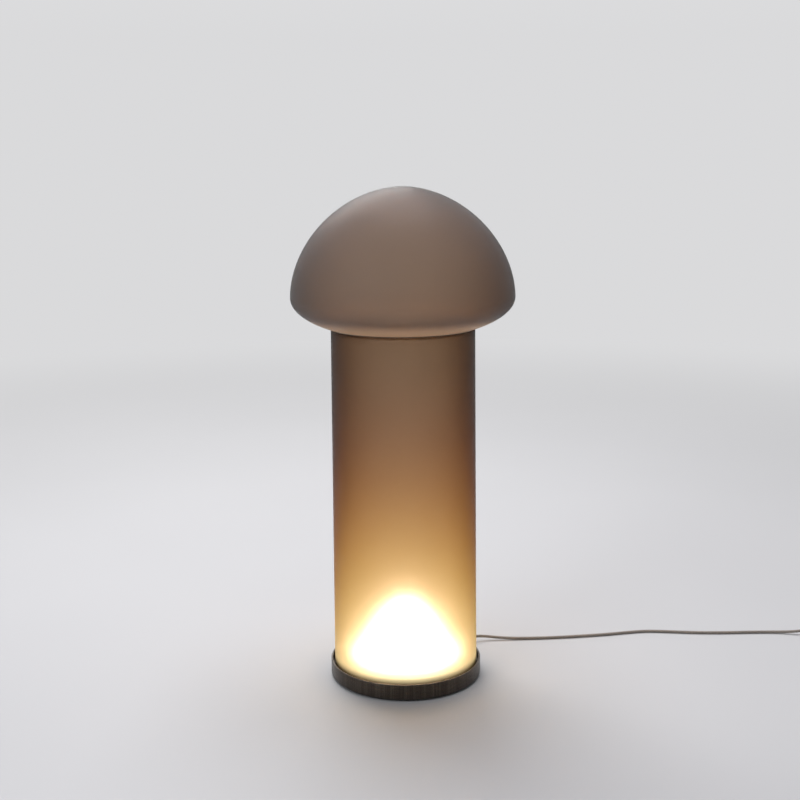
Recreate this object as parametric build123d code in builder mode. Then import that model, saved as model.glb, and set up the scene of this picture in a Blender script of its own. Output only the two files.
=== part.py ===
"""Mushroom floor lamp: a frosted glass column under a blown glass cap, on a low steel cup base.

Millimetres, +Z up. The origin is on the floor at the middle of the base. The front faces -Y,
and the mains cord leaves the base at the back, to the right.
"""

import os
from math import asin, cos, degrees, pi, radians, sin, sqrt, tan

from build123d import *

os.makedirs("parts", exist_ok=True)

# ---------------------------------------------------------------- driving dimensions
# glass
tube_radius = 95.0
tube_wall = 4.0
tube_length = 452.0
glass_edge = 0.6
cap_radius = 147.5
cap_wall = 3.5
dome_height = 144.0
dome_power = 1.876
equator_rise = 41.2
neck_depth = 5.0
neck_wall = 3.5
neck_clearance = 0.8
seal_thickness = 1.0
seal_inset = 0.5

# base cup and what stands in it
foot_height = 1.5
foot_inner_radius = 84.0
foot_outer_radius = 92.0
cup_wall = 2.6
cup_floor = 2.0
cup_height = 20.5
cup_gap = 2.5
cup_corner = 2.5
ballast_height = 9.0
ballast_bore_radius = 62.0
ballast_chamfer = 1.0
ring_clearance = 0.4
seat_thickness = 1.5

# light unit
tray_height = 13.5
tray_wall = 2.0
tray_clearance = 0.8
tray_hole_radius = 48.0
boss_radius = 4.0
boss_circle = 80.0
spreader_radius = 60.0
spreader_thickness = 4.0
board_radius = 45.0
board_thickness = 1.6
chip_size = 3.5
chip_height = 0.8
inner_chip_ring = 14.0
inner_chip_count = 6
outer_chip_ring = 28.0
outer_chip_count = 12
dome_radius = 64.0
diffuser_height = 74.0
dome_wall = 2.0
flange_radius = 68.0
flange_thickness = 2.0
retainer_radius = 74.0
retainer_lip = 2.0
retainer_gap = 0.3

# driver and terminals, laid out along the line on which the cord comes in
driver_depth = 56.0
driver_width = 76.0
driver_height = 15.0
driver_wall = 1.6
driver_offset = -16.0
circuit_thickness = 1.6
circuit_stand = 3.0
block_depth = 12.0
block_width = 24.0
block_height = 11.0
block_offset = 22.0
clamp_depth = 8.0
clamp_width = 22.0
clamp_height = 9.0
clamp_offset = 44.0
lead_radius = 0.9
lead_spacing = 10.0
tail_end = 38.0

# screws
running_fit = 0.05
m3_radius = 1.5
m4_radius = 2.0
m3_head = 2.7
m4_head = 3.6
head_height = 1.6
thread_depth = 5.0

# mains cord
cord_radius = 2.0
exit_angle = 45.0
exit_height = 8.2
bushing_radius = 4.2
bushing_hole = 3.4
bushing_flange = 1.5
bushing_length = 24.0
bushing_tip = 2.6
cord_slot = 11.0

# switch on the cord
switch_length = 64.0
switch_width = 28.0
switch_half = 9.0
switch_wall = 2.0
rocker_length = 24.0
rocker_width = 12.0
rocker_rise = 2.6
rocker_tilt = 7.0
rocker_clearance = 0.4
pivot_radius = 1.5
switch_x = 628.0
switch_y = 112.0

# coil of spare cord, its tie and the plug
coil_outer = 26.6
coil_pitch = 5.2
layer_pitch = 5.2
layer_count = 4
half_turns_each = 4
coil_x = 742.0
tie_width = 10.0
tie_thickness = 0.8
tie_clearance = 0.4
plug_x = 664.0
plug_y = 168.0
plug_length = 36.0
plug_width = 35.3
plug_height = 13.7
plug_relief = 14.0
pin_radius = 2.0
pin_core = 1.5
pin_length = 19.0
pin_sleeve = 10.0
pin_spacing = 18.6
pin_root = 8.0

# ---------------------------------------------------------------- levels and radii that follow
cup_radius = tube_radius + cup_gap + cup_wall
cup_inner = cup_radius - cup_wall
cup_bottom = foot_height
floor_top = cup_bottom + cup_floor
ballast_top = floor_top + ballast_height
tube_bottom = ballast_top + seat_thickness
tube_top = tube_bottom + tube_length
shoulder = tube_top + seal_thickness
equator = shoulder + equator_rise
tube_bore = tube_radius - tube_wall
tray_radius = tube_bore - tray_clearance
tray_top = ballast_top + tray_height
tray_under = tray_top - tray_wall
spreader_bottom = tray_under - spreader_thickness
board_top = tray_under + board_thickness
driver_top = floor_top + driver_height
neck_radius = tube_bore - neck_clearance
shoulder_radius = tube_radius + seal_inset
bowl_depth = equator_rise / sqrt(1 - (shoulder_radius / cap_radius) ** 2)


def along_exit(height, distance=0.0):
    """A level plane whose X runs outwards along the cord's line, moved along it."""
    out = Vector(cos(radians(exit_angle)), sin(radians(exit_angle)), 0)
    return Plane(origin=out * distance + Vector(0, 0, height), x_dir=out, z_dir=(0, 0, 1))


def across_exit(distance):
    """An upright plane that faces outwards at that distance along the cord's line."""
    out = Vector(cos(radians(exit_angle)), sin(radians(exit_angle)), 0)
    return Plane(origin=out * distance + Vector(0, 0, exit_height), z_dir=out)


def swell(radius, height, power, level, first, last, count):
    """Points of a superellipse's quarter, from angle first to angle last in degrees."""
    angles = [radians(first + (last - first) * i / (count - 1)) for i in range(count)]
    return [
        (radius * abs(cos(a)) ** (2 / power), level + height * abs(sin(a)) ** (2 / power))
        for a in angles
    ]


def screw(shank, head, length, sunk=False):
    """A screw that points down from the level of its head's seat, with a cross recess."""
    under = -head_height if sunk else 0
    over = 0 if sunk else head_height
    rim = [(0, over), (head, over)]
    if not sunk:
        rim.append((head, under))
    with BuildPart() as one:
        with BuildSketch(Plane.XZ):
            with BuildLine():
                Polyline(*rim, (shank, under), (shank, -length), (0, -length), close=True)
            make_face()
        revolve(axis=Axis.Z)
        with Locations((0, 0, over)):
            Box(head, 0.6, 1.4, mode=Mode.SUBTRACT)
            Box(0.6, head, 1.4, mode=Mode.SUBTRACT)
    return one.part


def corner_radii(points, share=0.45):
    """The largest arc at each corner that leaves both of its runs a straight stretch."""
    corners = [Vector(*p) for p in points]
    radii = []
    for a, b, c in zip(corners, corners[1:], corners[2:]):
        turn = radians((b - a).get_angle(c - b))
        radii.append(share * min((b - a).length, (c - b).length) / tan(turn / 2))
    return radii


def cord_tube(name, points):
    """A plain round cord along the points: straight runs joined by tangent arcs."""
    radii = corner_radii(points)
    with BuildPart() as tube:
        with BuildLine() as route:
            FilletPolyline(*points, radius=radii)
        line = route.wire()
        with BuildSketch(Plane(origin=line @ 0, z_dir=line % 0)):
            Circle(cord_radius)
        sweep(path=line)
    share = tube.part.volume / (pi * cord_radius**2 * line.length)
    print(f"{name}: {line.length:.1f} mm, radii {[round(r) for r in radii]}, volume {share:.4f}")
    return tube.part, line.length


# ---------------------------------------------------------------- base
with BuildPart() as foot_ring:
    with BuildSketch():
        Circle(foot_outer_radius)
        Circle(foot_inner_radius, mode=Mode.SUBTRACT)
    extrude(amount=foot_height)
foot_ring.part.label = "foot_ring"
export_step(foot_ring.part, "parts/foot_ring.step")

base_screw_circle = (foot_inner_radius + ballast_bore_radius) / 2

with BuildPart() as base_cup:
    with BuildSketch(Plane.XY.offset(cup_bottom)):
        Circle(cup_radius)
    extrude(amount=cup_height)
    fillet(base_cup.edges().group_by(Axis.Z)[0], cup_corner)
    with BuildSketch(Plane.XY.offset(floor_top)):
        Circle(cup_inner)
    extrude(amount=cup_height, mode=Mode.SUBTRACT)
    fillet(base_cup.edges().group_by(Axis.Z)[-1], cup_wall * 0.3)
    with BuildSketch(across_exit(cup_inner - cup_wall)):
        Circle(bushing_hole + running_fit)
    extrude(amount=3 * cup_wall, mode=Mode.SUBTRACT)
    with Locations(Location((0, 0, cup_bottom), (180, 0, 0))):
        with PolarLocations(base_screw_circle, 3, start_angle=-exit_angle - 30):
            CounterSinkHole(
                m4_radius + running_fit,
                m4_head + 2 * running_fit,
                depth=cup_floor + cup_bottom,
                counter_sink_angle=90,
            )
    with BuildSketch(along_exit(cup_bottom)):
        with Locations((driver_offset, 0)):
            with GridLocations(1, driver_width + 2 * m3_head + 2, 1, 2):
                Circle(m3_radius + running_fit)
        with Locations((clamp_offset, 0)):
            with GridLocations(1, clamp_width - 2 * m3_head, 1, 2):
                Circle(m3_radius + running_fit)
    extrude(amount=cup_floor, mode=Mode.SUBTRACT)
base_cup.part.label = "base_cup"
export_step(base_cup.part, "parts/base_cup.step")

with BuildPart() as ballast_ring:
    with BuildSketch(Plane.XY.offset(floor_top)):
        Circle(cup_inner - ring_clearance)
        Circle(ballast_bore_radius, mode=Mode.SUBTRACT)
    extrude(amount=ballast_height)
    chamfer(ballast_ring.edges().group_by(Axis.Z)[0].sort_by(SortBy.LENGTH)[-1], ballast_chamfer)
    with BuildSketch(along_exit(floor_top, cup_radius / 2)):
        Rectangle(cup_radius + cord_slot, cord_slot)
    extrude(amount=ballast_height, mode=Mode.SUBTRACT)
    with BuildSketch(Plane.XY.offset(floor_top)):
        with PolarLocations(base_screw_circle, 3, start_angle=exit_angle + 30):
            Circle(m4_radius + running_fit)
    extrude(amount=thread_depth + 1, mode=Mode.SUBTRACT)
    with BuildSketch(Plane.XY.offset(ballast_top)):
        with PolarLocations(boss_circle, 3, start_angle=exit_angle + 90):
            Circle(m3_radius + running_fit)
    extrude(amount=-thread_depth - 1, mode=Mode.SUBTRACT)
ballast_ring.part.label = "ballast_ring"
export_step(ballast_ring.part, "parts/ballast_ring.step")

with BuildPart() as base_screws:
    with Locations(Location((0, 0, cup_bottom), (180, 0, 0))):
        with PolarLocations(base_screw_circle, 3, start_angle=-exit_angle - 30):
            add(screw(m4_radius, m4_head, cup_floor + thread_depth, sunk=True))
base_screws.part.label = "base_screws"
export_step(base_screws.part, "parts/base_screws.step")

with BuildPart() as tube_seat:
    with BuildSketch(Plane.XY.offset(ballast_top)):
        Circle(cup_inner - ring_clearance)
        Circle(tray_radius + ring_clearance, mode=Mode.SUBTRACT)
    extrude(amount=seat_thickness)
tube_seat.part.label = "tube_seat"
export_step(tube_seat.part, "parts/tube_seat.step")

# ---------------------------------------------------------------- light unit
retainer_bore = flange_radius + retainer_gap
retainer_circle = (retainer_bore + retainer_radius) / 2
retainer_top = tray_top + flange_thickness + retainer_gap + retainer_lip
spreader_circle = (tray_hole_radius + spreader_radius) / 2
board_circle = board_radius - 3 * m3_head

with BuildPart() as light_tray:
    with BuildSketch(Plane.XY.offset(ballast_top)):
        Circle(tray_radius)
    extrude(amount=tray_height)
    fillet(light_tray.edges().group_by(Axis.Z)[-1], tray_wall / 2)
    with BuildSketch(Plane.XY.offset(ballast_top)):
        Circle(tray_radius - tray_wall)
    extrude(amount=tray_height - tray_wall, mode=Mode.SUBTRACT)
    with BuildSketch(Plane.XY.offset(ballast_top)):
        with PolarLocations(boss_circle, 3, start_angle=exit_angle + 90):
            Circle(boss_radius)
    extrude(amount=tray_height - tray_wall / 2)
    with BuildSketch(Plane.XY.offset(tray_top)):
        Circle(tray_hole_radius)
        with PolarLocations(boss_circle, 3, start_angle=exit_angle + 90):
            Circle(m3_radius + running_fit)
        with PolarLocations(spreader_circle, 3, start_angle=exit_angle + 90):
            Circle(m3_radius + running_fit)
        with PolarLocations(retainer_circle, 3, start_angle=exit_angle + 30):
            Circle(m3_radius + running_fit)
    extrude(amount=-tray_height, mode=Mode.SUBTRACT)
light_tray.part.label = "light_tray"
export_step(light_tray.part, "parts/light_tray.step")

with BuildPart() as tray_screws:
    with Locations((0, 0, tray_top)):
        with PolarLocations(boss_circle, 3, start_angle=exit_angle + 90):
            add(screw(m3_radius, m3_head, tray_height + thread_depth))
tray_screws.part.label = "tray_screws"
export_step(tray_screws.part, "parts/tray_screws.step")

with BuildPart() as heat_spreader:
    with BuildSketch(Plane.XY.offset(spreader_bottom)):
        Circle(spreader_radius)
        with PolarLocations(spreader_circle, 3, start_angle=exit_angle + 90):
            Circle(m3_radius + running_fit, mode=Mode.SUBTRACT)
        with PolarLocations(board_circle, 3, start_angle=exit_angle + 30):
            Circle(m3_radius + running_fit, mode=Mode.SUBTRACT)
    extrude(amount=spreader_thickness)
    with BuildSketch(along_exit(spreader_bottom, driver_offset)):
        with GridLocations(lead_spacing, 1, 2, 1):
            Circle(lead_radius + 2 * running_fit)
    extrude(amount=spreader_thickness, mode=Mode.SUBTRACT)
heat_spreader.part.label = "heat_spreader"
export_step(heat_spreader.part, "parts/heat_spreader.step")

with BuildPart() as spreader_screws:
    with Locations((0, 0, tray_top)):
        with PolarLocations(spreader_circle, 3, start_angle=exit_angle + 90):
            add(screw(m3_radius, m3_head, tray_wall + spreader_thickness))
spreader_screws.part.label = "spreader_screws"
export_step(spreader_screws.part, "parts/spreader_screws.step")

with BuildPart() as led_board:
    with BuildSketch(Plane.XY.offset(tray_under)):
        Circle(board_radius)
        with PolarLocations(board_circle, 3, start_angle=exit_angle + 30):
            Circle(m3_radius + running_fit, mode=Mode.SUBTRACT)
    extrude(amount=board_thickness)
led_board.part.label = "led_board"
export_step(led_board.part, "parts/led_board.step")

with BuildPart() as board_screws:
    with Locations((0, 0, board_top)):
        with PolarLocations(board_circle, 3, start_angle=exit_angle + 30):
            add(screw(m3_radius, m3_head, board_thickness + spreader_thickness))
board_screws.part.label = "board_screws"
export_step(board_screws.part, "parts/board_screws.step")

with BuildPart() as led_chips:
    with BuildSketch(Plane.XY.offset(board_top)):
        with PolarLocations(inner_chip_ring, inner_chip_count):
            Rectangle(chip_size, chip_size)
        with PolarLocations(outer_chip_ring, outer_chip_count):
            Rectangle(chip_size, chip_size)
    extrude(amount=chip_height)
led_chips.part.label = "led_chips"
export_step(led_chips.part, "parts/led_chips.step")

with BuildPart() as diffuser_dome:
    with BuildSketch(Plane.XZ):
        with BuildLine():
            outer_top = tray_top + diffuser_height
            inner_radius = dome_radius - dome_wall
            inner_top = outer_top - dome_wall
            Bezier((0, outer_top), (dome_radius / 2, outer_top), (dome_radius, tray_top))
            Line((dome_radius, tray_top), (inner_radius, tray_top))
            Bezier((inner_radius, tray_top), (inner_radius / 2, inner_top), (0, inner_top))
            Line((0, inner_top), (0, outer_top))
        make_face()
        with Locations(((inner_radius + flange_radius) / 2, tray_top + flange_thickness / 2)):
            Rectangle(flange_radius - inner_radius, flange_thickness)
    revolve(axis=Axis.Z)
diffuser_dome.part.label = "diffuser_dome"
export_step(diffuser_dome.part, "parts/diffuser_dome.step")

with BuildPart() as dome_retainer:
    with BuildSketch(Plane.XZ):
        with BuildLine():
            lip_under = retainer_top - retainer_lip
            lip_bore = dome_radius + 3 * retainer_gap
            Polyline(
                (retainer_bore, tray_top),
                (retainer_radius, tray_top),
                (retainer_radius, retainer_top),
                (lip_bore, retainer_top),
                (lip_bore, lip_under),
                (retainer_bore, lip_under),
                close=True,
            )
        make_face()
    revolve(axis=Axis.Z)
    with BuildSketch(Plane.XY.offset(retainer_top)):
        with PolarLocations(retainer_circle, 3, start_angle=exit_angle + 30):
            Circle(m3_radius + running_fit)
    extrude(amount=tray_top - retainer_top, mode=Mode.SUBTRACT)
dome_retainer.part.label = "dome_retainer"
export_step(dome_retainer.part, "parts/dome_retainer.step")

with BuildPart() as retainer_screws:
    with Locations((0, 0, retainer_top)):
        with PolarLocations(retainer_circle, 3, start_angle=exit_angle + 30):
            add(screw(m3_radius, m3_head, retainer_top - tray_under))
retainer_screws.part.label = "retainer_screws"
export_step(retainer_screws.part, "parts/retainer_screws.step")

# ---------------------------------------------------------------- driver, terminals and leads
ear_length = 2 * m3_head + 2
ear_spacing = driver_width + ear_length
ear_thickness = 2.0
driver_inner_depth = driver_depth - 2 * driver_wall
driver_inner_width = driver_width - 2 * driver_wall
circuit_bottom = floor_top + driver_wall + circuit_stand
circuit_top = circuit_bottom + circuit_thickness
headroom = driver_top - driver_wall - circuit_top - ring_clearance
driver_face = driver_offset + driver_depth / 2

with BuildPart() as driver_case:
    with BuildSketch(along_exit(floor_top, driver_offset)):
        Rectangle(driver_depth, driver_width)
    extrude(amount=driver_height - driver_wall)
    fillet(driver_case.edges().filter_by(Axis.Z), driver_wall)
    with BuildSketch(along_exit(floor_top + driver_wall, driver_offset)):
        Rectangle(driver_inner_depth, driver_inner_width)
    extrude(amount=driver_height, mode=Mode.SUBTRACT)
    with BuildSketch(along_exit(floor_top, driver_offset)):
        with GridLocations(driver_inner_depth - 8, driver_inner_width - 8, 2, 2):
            Circle(2.5)
    extrude(amount=driver_wall + circuit_stand)
    with BuildSketch(along_exit(floor_top, driver_offset)):
        with GridLocations(1, ear_spacing, 1, 2):
            Rectangle(ear_length, ear_length + driver_wall)
    extrude(amount=ear_thickness)
    with BuildSketch(along_exit(floor_top, driver_offset)):
        with GridLocations(1, ear_spacing, 1, 2):
            Circle(m3_radius + running_fit)
    extrude(amount=ear_thickness, mode=Mode.SUBTRACT)
    with BuildSketch(across_exit(driver_face - 2 * driver_wall)):
        with GridLocations(lead_spacing, 1, 2, 1):
            Circle(lead_radius + running_fit)
    extrude(amount=3 * driver_wall, mode=Mode.SUBTRACT)
driver_case.part.label = "driver_case"
export_step(driver_case.part, "parts/driver_case.step")

with BuildPart() as driver_lid:
    with BuildSketch(along_exit(driver_top - driver_wall, driver_offset)):
        Rectangle(driver_depth, driver_width)
        with GridLocations(lead_spacing, 1, 2, 1):
            Circle(lead_radius + 2 * running_fit, mode=Mode.SUBTRACT)
    extrude(amount=driver_wall)
driver_lid.part.label = "driver_lid"
export_step(driver_lid.part, "parts/driver_lid.step")

with BuildPart() as driver_board:
    with BuildSketch(along_exit(circuit_bottom, driver_offset)):
        Rectangle(driver_inner_depth - 2 * ring_clearance, driver_inner_width - 2 * ring_clearance)
    extrude(amount=circuit_thickness)
driver_board.part.label = "driver_board"
export_step(driver_board.part, "parts/driver_board.step")

with BuildPart() as driver_parts:
    with BuildSketch(along_exit(circuit_top, driver_offset)):
        with Locations((-14, 14)):
            Rectangle(18, 20)
        with Locations((-12, -22), (14, 26)):
            Circle(5)
        with Locations((14, -20)):
            Rectangle(10, 14)
    extrude(amount=headroom)
driver_parts.part.label = "driver_parts"
export_step(driver_parts.part, "parts/driver_parts.step")

with BuildPart() as driver_screws:
    with Locations(along_exit(floor_top + ear_thickness, driver_offset).location):
        with GridLocations(1, ear_spacing, 1, 2):
            add(screw(m3_radius, m3_head, ear_thickness + cup_floor * 0.9))
driver_screws.part.label = "driver_screws"
export_step(driver_screws.part, "parts/driver_screws.step")

well_spacing = block_depth / 2
well_bottom = exit_height + 2 * lead_radius

with BuildPart() as terminal_block:
    with BuildSketch(along_exit(floor_top, block_offset)):
        Rectangle(block_depth, block_width)
    extrude(amount=block_height)
    with BuildSketch(across_exit(block_offset - block_depth)):
        with GridLocations(lead_spacing, 1, 2, 1):
            Circle(lead_radius + running_fit)
    extrude(amount=2 * block_depth, mode=Mode.SUBTRACT)
    with BuildSketch(along_exit(well_bottom, block_offset)):
        with GridLocations(well_spacing, lead_spacing, 2, 2):
            Circle(m3_radius + running_fit)
    extrude(amount=block_height, mode=Mode.SUBTRACT)
terminal_block.part.label = "terminal_block"
export_step(terminal_block.part, "parts/terminal_block.step")

with BuildPart() as terminal_screws:
    with BuildSketch(along_exit(well_bottom, block_offset)):
        with GridLocations(well_spacing, lead_spacing, 2, 2):
            Circle(m3_radius)
    extrude(amount=2 * m3_radius)
    with BuildSketch(along_exit(well_bottom + 2 * m3_radius, block_offset)):
        with GridLocations(well_spacing, lead_spacing, 2, 2):
            Rectangle(2 * m3_radius - 0.6, 0.5)
    extrude(amount=-0.8, mode=Mode.SUBTRACT)
terminal_screws.part.label = "terminal_screws"
export_step(terminal_screws.part, "parts/terminal_screws.step")

clamp_spacing = clamp_width - 2 * m3_head

with BuildPart() as cord_clamp:
    with BuildSketch(along_exit(floor_top, clamp_offset)):
        RectangleRounded(clamp_depth, clamp_width, 1.5)
        with GridLocations(1, clamp_spacing, 1, 2):
            Circle(m3_radius + running_fit, mode=Mode.SUBTRACT)
    extrude(amount=clamp_height)
    with BuildSketch(across_exit(clamp_offset - clamp_depth)):
        Circle(cord_radius + running_fit)
    extrude(amount=2 * clamp_depth, mode=Mode.SUBTRACT)
cord_clamp.part.label = "cord_clamp"
export_step(cord_clamp.part, "parts/cord_clamp.step")

with BuildPart() as clamp_screws:
    with Locations(along_exit(floor_top + clamp_height, clamp_offset).location):
        with GridLocations(1, clamp_spacing, 1, 2):
            add(screw(m3_radius, m3_head, clamp_height + cup_floor * 0.9))
clamp_screws.part.label = "clamp_screws"
export_step(clamp_screws.part, "parts/clamp_screws.step")

flange_gap = cup_inner - sqrt(cup_inner**2 - bushing_radius**2) + running_fit
bushing_start = cup_inner - flange_gap - bushing_flange
bushing_end = cup_radius + bushing_length
taper_start = cup_radius + running_fit + bushing_flange
rib_count = 6
rib_pitch = (bushing_end - taper_start - 2) / rib_count

with BuildPart() as cord_bushing:
    with BuildSketch(across_exit(bushing_start)):
        Circle(bushing_radius)
    extrude(amount=bushing_flange)
    with BuildSketch(across_exit(bushing_start)):
        Circle(bushing_hole)
    extrude(amount=taper_start - bushing_start)
    with BuildSketch(across_exit(taper_start - bushing_flange)):
        Circle(bushing_radius + bushing_flange)
    extrude(amount=bushing_flange)
    with BuildSketch(across_exit(taper_start)):
        Circle(bushing_radius)
    with BuildSketch(across_exit(bushing_end)):
        Circle(bushing_tip)
    loft()
    for rib in range(rib_count):
        with BuildSketch(across_exit(taper_start + (rib + 0.6) * rib_pitch)):
            Circle(bushing_radius + 1)
            Circle(bushing_tip * 0.95, mode=Mode.SUBTRACT)
        extrude(amount=rib_pitch * 0.35, mode=Mode.SUBTRACT)
cord_bushing.part.label = "cord_bushing"
export_step(cord_bushing.part, "parts/cord_bushing.step")

with BuildPart() as cord_tail:
    with BuildSketch(across_exit(tail_end)):
        Circle(cord_radius)
    extrude(amount=bushing_start - tail_end)
cord_tail.part.label = "cord_tail"
export_step(cord_tail.part, "parts/cord_tail.step")


def lead(side):
    """One core from the end of the cord, through the terminal block, to the driver's case."""
    start = lead_radius + 3 * running_fit
    level = along_exit(exit_height)
    points = [
        (tail_end, side * start),
        (tail_end - 2.5, side * start),
        (block_offset + block_depth / 2 + 2, side * lead_spacing / 2),
        (driver_face - driver_wall, side * lead_spacing / 2),
    ]
    corners = [level.from_local_coords((x, y, 0)) for x, y in points]
    with BuildPart() as core:
        with BuildLine() as route:
            FilletPolyline(*corners, radius=1.5 * lead_radius)
        line = route.wire()
        with BuildSketch(Plane(origin=line @ 0, z_dir=line % 0)):
            Circle(lead_radius)
        sweep(path=line)
    return core.part


left_lead = lead(-1)
right_lead = lead(1)
with BuildPart() as supply_leads:
    add(left_lead)
    add(right_lead)
supply_leads.part.label = "supply_leads"
export_step(supply_leads.part, "parts/supply_leads.step")

with BuildPart() as led_leads:
    with BuildSketch(along_exit(circuit_top, driver_offset)):
        with GridLocations(lead_spacing, 1, 2, 1):
            Circle(lead_radius)
    extrude(amount=tray_under - circuit_top)
led_leads.part.label = "led_leads"
export_step(led_leads.part, "parts/led_leads.step")

# ---------------------------------------------------------------- switch on the cord
switch_top = 2 * switch_half
pivot_height = switch_top - rocker_rise
rocker_end = rocker_length / 2
slot_length = rocker_length + 2 * rocker_clearance
slot_width = rocker_width + 2 * rocker_clearance
cheek = 2.0
boss_offset = switch_length / 2 - 3 * m3_head
switch_boss = m3_radius + 1.6
screw_recess = 0.5
switch_corner = 9.0

with BuildPart() as switch_base:
    with BuildSketch(Plane((switch_x, switch_y, 0))):
        RectangleRounded(switch_length, switch_width, switch_corner)
    extrude(amount=switch_half)
    fillet(switch_base.edges().group_by(Axis.Z)[0], switch_wall / 2)
    with BuildSketch(Plane((switch_x, switch_y, switch_wall))):
        RectangleRounded(
            switch_length - 2 * switch_wall,
            switch_width - 2 * switch_wall,
            switch_corner - switch_wall,
        )
    extrude(amount=switch_half, mode=Mode.SUBTRACT)
    with BuildSketch(Plane((switch_x, switch_y, 0))):
        with GridLocations(2 * boss_offset, 1, 2, 1):
            Circle(switch_boss + 0.5)
    extrude(amount=switch_half)
    with Locations(Location((switch_x, switch_y, 0), (180, 0, 0))):
        with GridLocations(2 * boss_offset, 1, 2, 1):
            CounterBoreHole(m3_radius + running_fit, m3_head + 2 * running_fit, head_height + screw_recess)
switch_base.part.label = "switch_base"
export_step(switch_base.part, "parts/switch_base.step")

with BuildPart() as switch_cover:
    with BuildSketch(Plane((switch_x, switch_y, switch_half))):
        RectangleRounded(switch_length, switch_width, switch_corner)
    extrude(amount=switch_half)
    fillet(switch_cover.edges().group_by(Axis.Z)[-1], switch_wall)
    with BuildSketch(Plane((switch_x, switch_y, switch_half))):
        RectangleRounded(
            switch_length - 2 * switch_wall,
            switch_width - 2 * switch_wall,
            switch_corner - switch_wall,
        )
    extrude(amount=switch_half - switch_wall, mode=Mode.SUBTRACT)
    with BuildSketch(Plane((switch_x, switch_y, switch_half))):
        with GridLocations(2 * boss_offset, 1, 2, 1):
            Circle(switch_boss)
    extrude(amount=switch_half - switch_wall)
    with BuildSketch(Plane((switch_x, switch_y, pivot_height - 2 * pivot_radius))):
        with GridLocations(1, slot_width + cheek, 1, 2):
            Rectangle(rocker_length / 2, cheek)
    extrude(until=Until.NEXT)
    with BuildSketch(Plane((switch_x, switch_y, switch_half))):
        Rectangle(slot_length, slot_width)
    extrude(amount=switch_half, mode=Mode.SUBTRACT)
    with Locations(Location((switch_x, switch_y, pivot_height), (90, 0, 0))):
        Cylinder(pivot_radius + running_fit, slot_width + 2 * cheek, mode=Mode.SUBTRACT)
    with BuildSketch(Plane((switch_x, switch_y, switch_half))):
        with GridLocations(2 * boss_offset, 1, 2, 1):
            Circle(m3_radius + running_fit)
    extrude(amount=switch_half - switch_wall, mode=Mode.SUBTRACT)
switch_cover.part.label = "switch_cover"
export_step(switch_cover.part, "parts/switch_cover.step")

with BuildPart() as switch_screws:
    with Locations(Location((switch_x, switch_y, head_height + screw_recess), (180, 0, 0))):
        with GridLocations(2 * boss_offset, 1, 2, 1):
            add(screw(m3_radius, m3_head, 1.5 * switch_half - head_height))
switch_screws.part.label = "switch_screws"
export_step(switch_screws.part, "parts/switch_screws.step")

contact_height = pivot_height - rocker_end * sin(radians(3 * rocker_tilt)) - switch_wall

with BuildPart() as switch_contacts:
    with BuildSketch(Plane((switch_x, switch_y, switch_wall))):
        with GridLocations(rocker_length, 1, 2, 1):
            Rectangle(5, 8)
    extrude(amount=1.5)
    with BuildSketch(Plane((switch_x, switch_y, switch_wall))):
        with GridLocations(rocker_length, 1, 2, 1):
            Rectangle(1, 6)
    extrude(amount=contact_height - switch_wall)
switch_contacts.part.label = "switch_contacts"
export_step(switch_contacts.part, "parts/switch_contacts.step")

with BuildPart() as switch_rocker:
    with BuildSketch(Plane.XZ):
        Circle(rocker_end)
        with BuildLine():
            wing = 1.2 * rocker_end
            crest = rocker_rise + wing * tan(radians(rocker_tilt))
            Polyline(
                (0, rocker_rise),
                (wing, crest),
                (wing, -rocker_rise),
                (-wing, -rocker_rise),
                (-wing, crest),
                close=True,
            )
        make_face(mode=Mode.INTERSECT)
    extrude(amount=rocker_width / 2, both=True)
    fillet(switch_rocker.edges().filter_by(Axis.Y).sort_by(Axis.Z)[-2:], 0.4)
    Cylinder(pivot_radius, rocker_width + 2 * cheek, rotation=(90, 0, 0))
switch_rocker = Pos(switch_x, switch_y, pivot_height) * Rot(0, rocker_tilt, 0) * switch_rocker.part
switch_rocker.label = "switch_rocker"
export_step(switch_rocker, "parts/switch_rocker.step")

# ---------------------------------------------------------------- coil, tie and plug
coil_y = switch_y + coil_outer
coil_start = tie_thickness + tie_clearance + cord_radius
half_pitch = coil_pitch / 2
lead_in = 2 * cord_radius


def half_turn_ends():
    """Where each half turn starts: on the near and the far side of the coil by turns."""
    ends = []
    for layer in range(layer_count):
        for step in range(half_turns_each + 1):
            inwards = step if layer % 2 == 0 else half_turns_each - step
            reach = coil_outer - half_pitch * inwards
            side = -1 if len(ends) % 2 == 0 else 1
            ends.append(Vector(coil_x, coil_y + side * reach, coil_start + layer * layer_pitch))
    return ends


def least_gap(path, steps=900):
    """The least gap between the cord's surface and another turn of the same cord."""
    marks = [path @ (i / steps) for i in range(steps + 1)]
    spacing = path.length / steps
    apart = int(3 * 2 * cord_radius / spacing) + 1
    nearest = min(
        (marks[i] - marks[j]).length for i in range(steps) for j in range(i + apart, steps + 1)
    )
    return nearest - 2 * cord_radius


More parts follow.
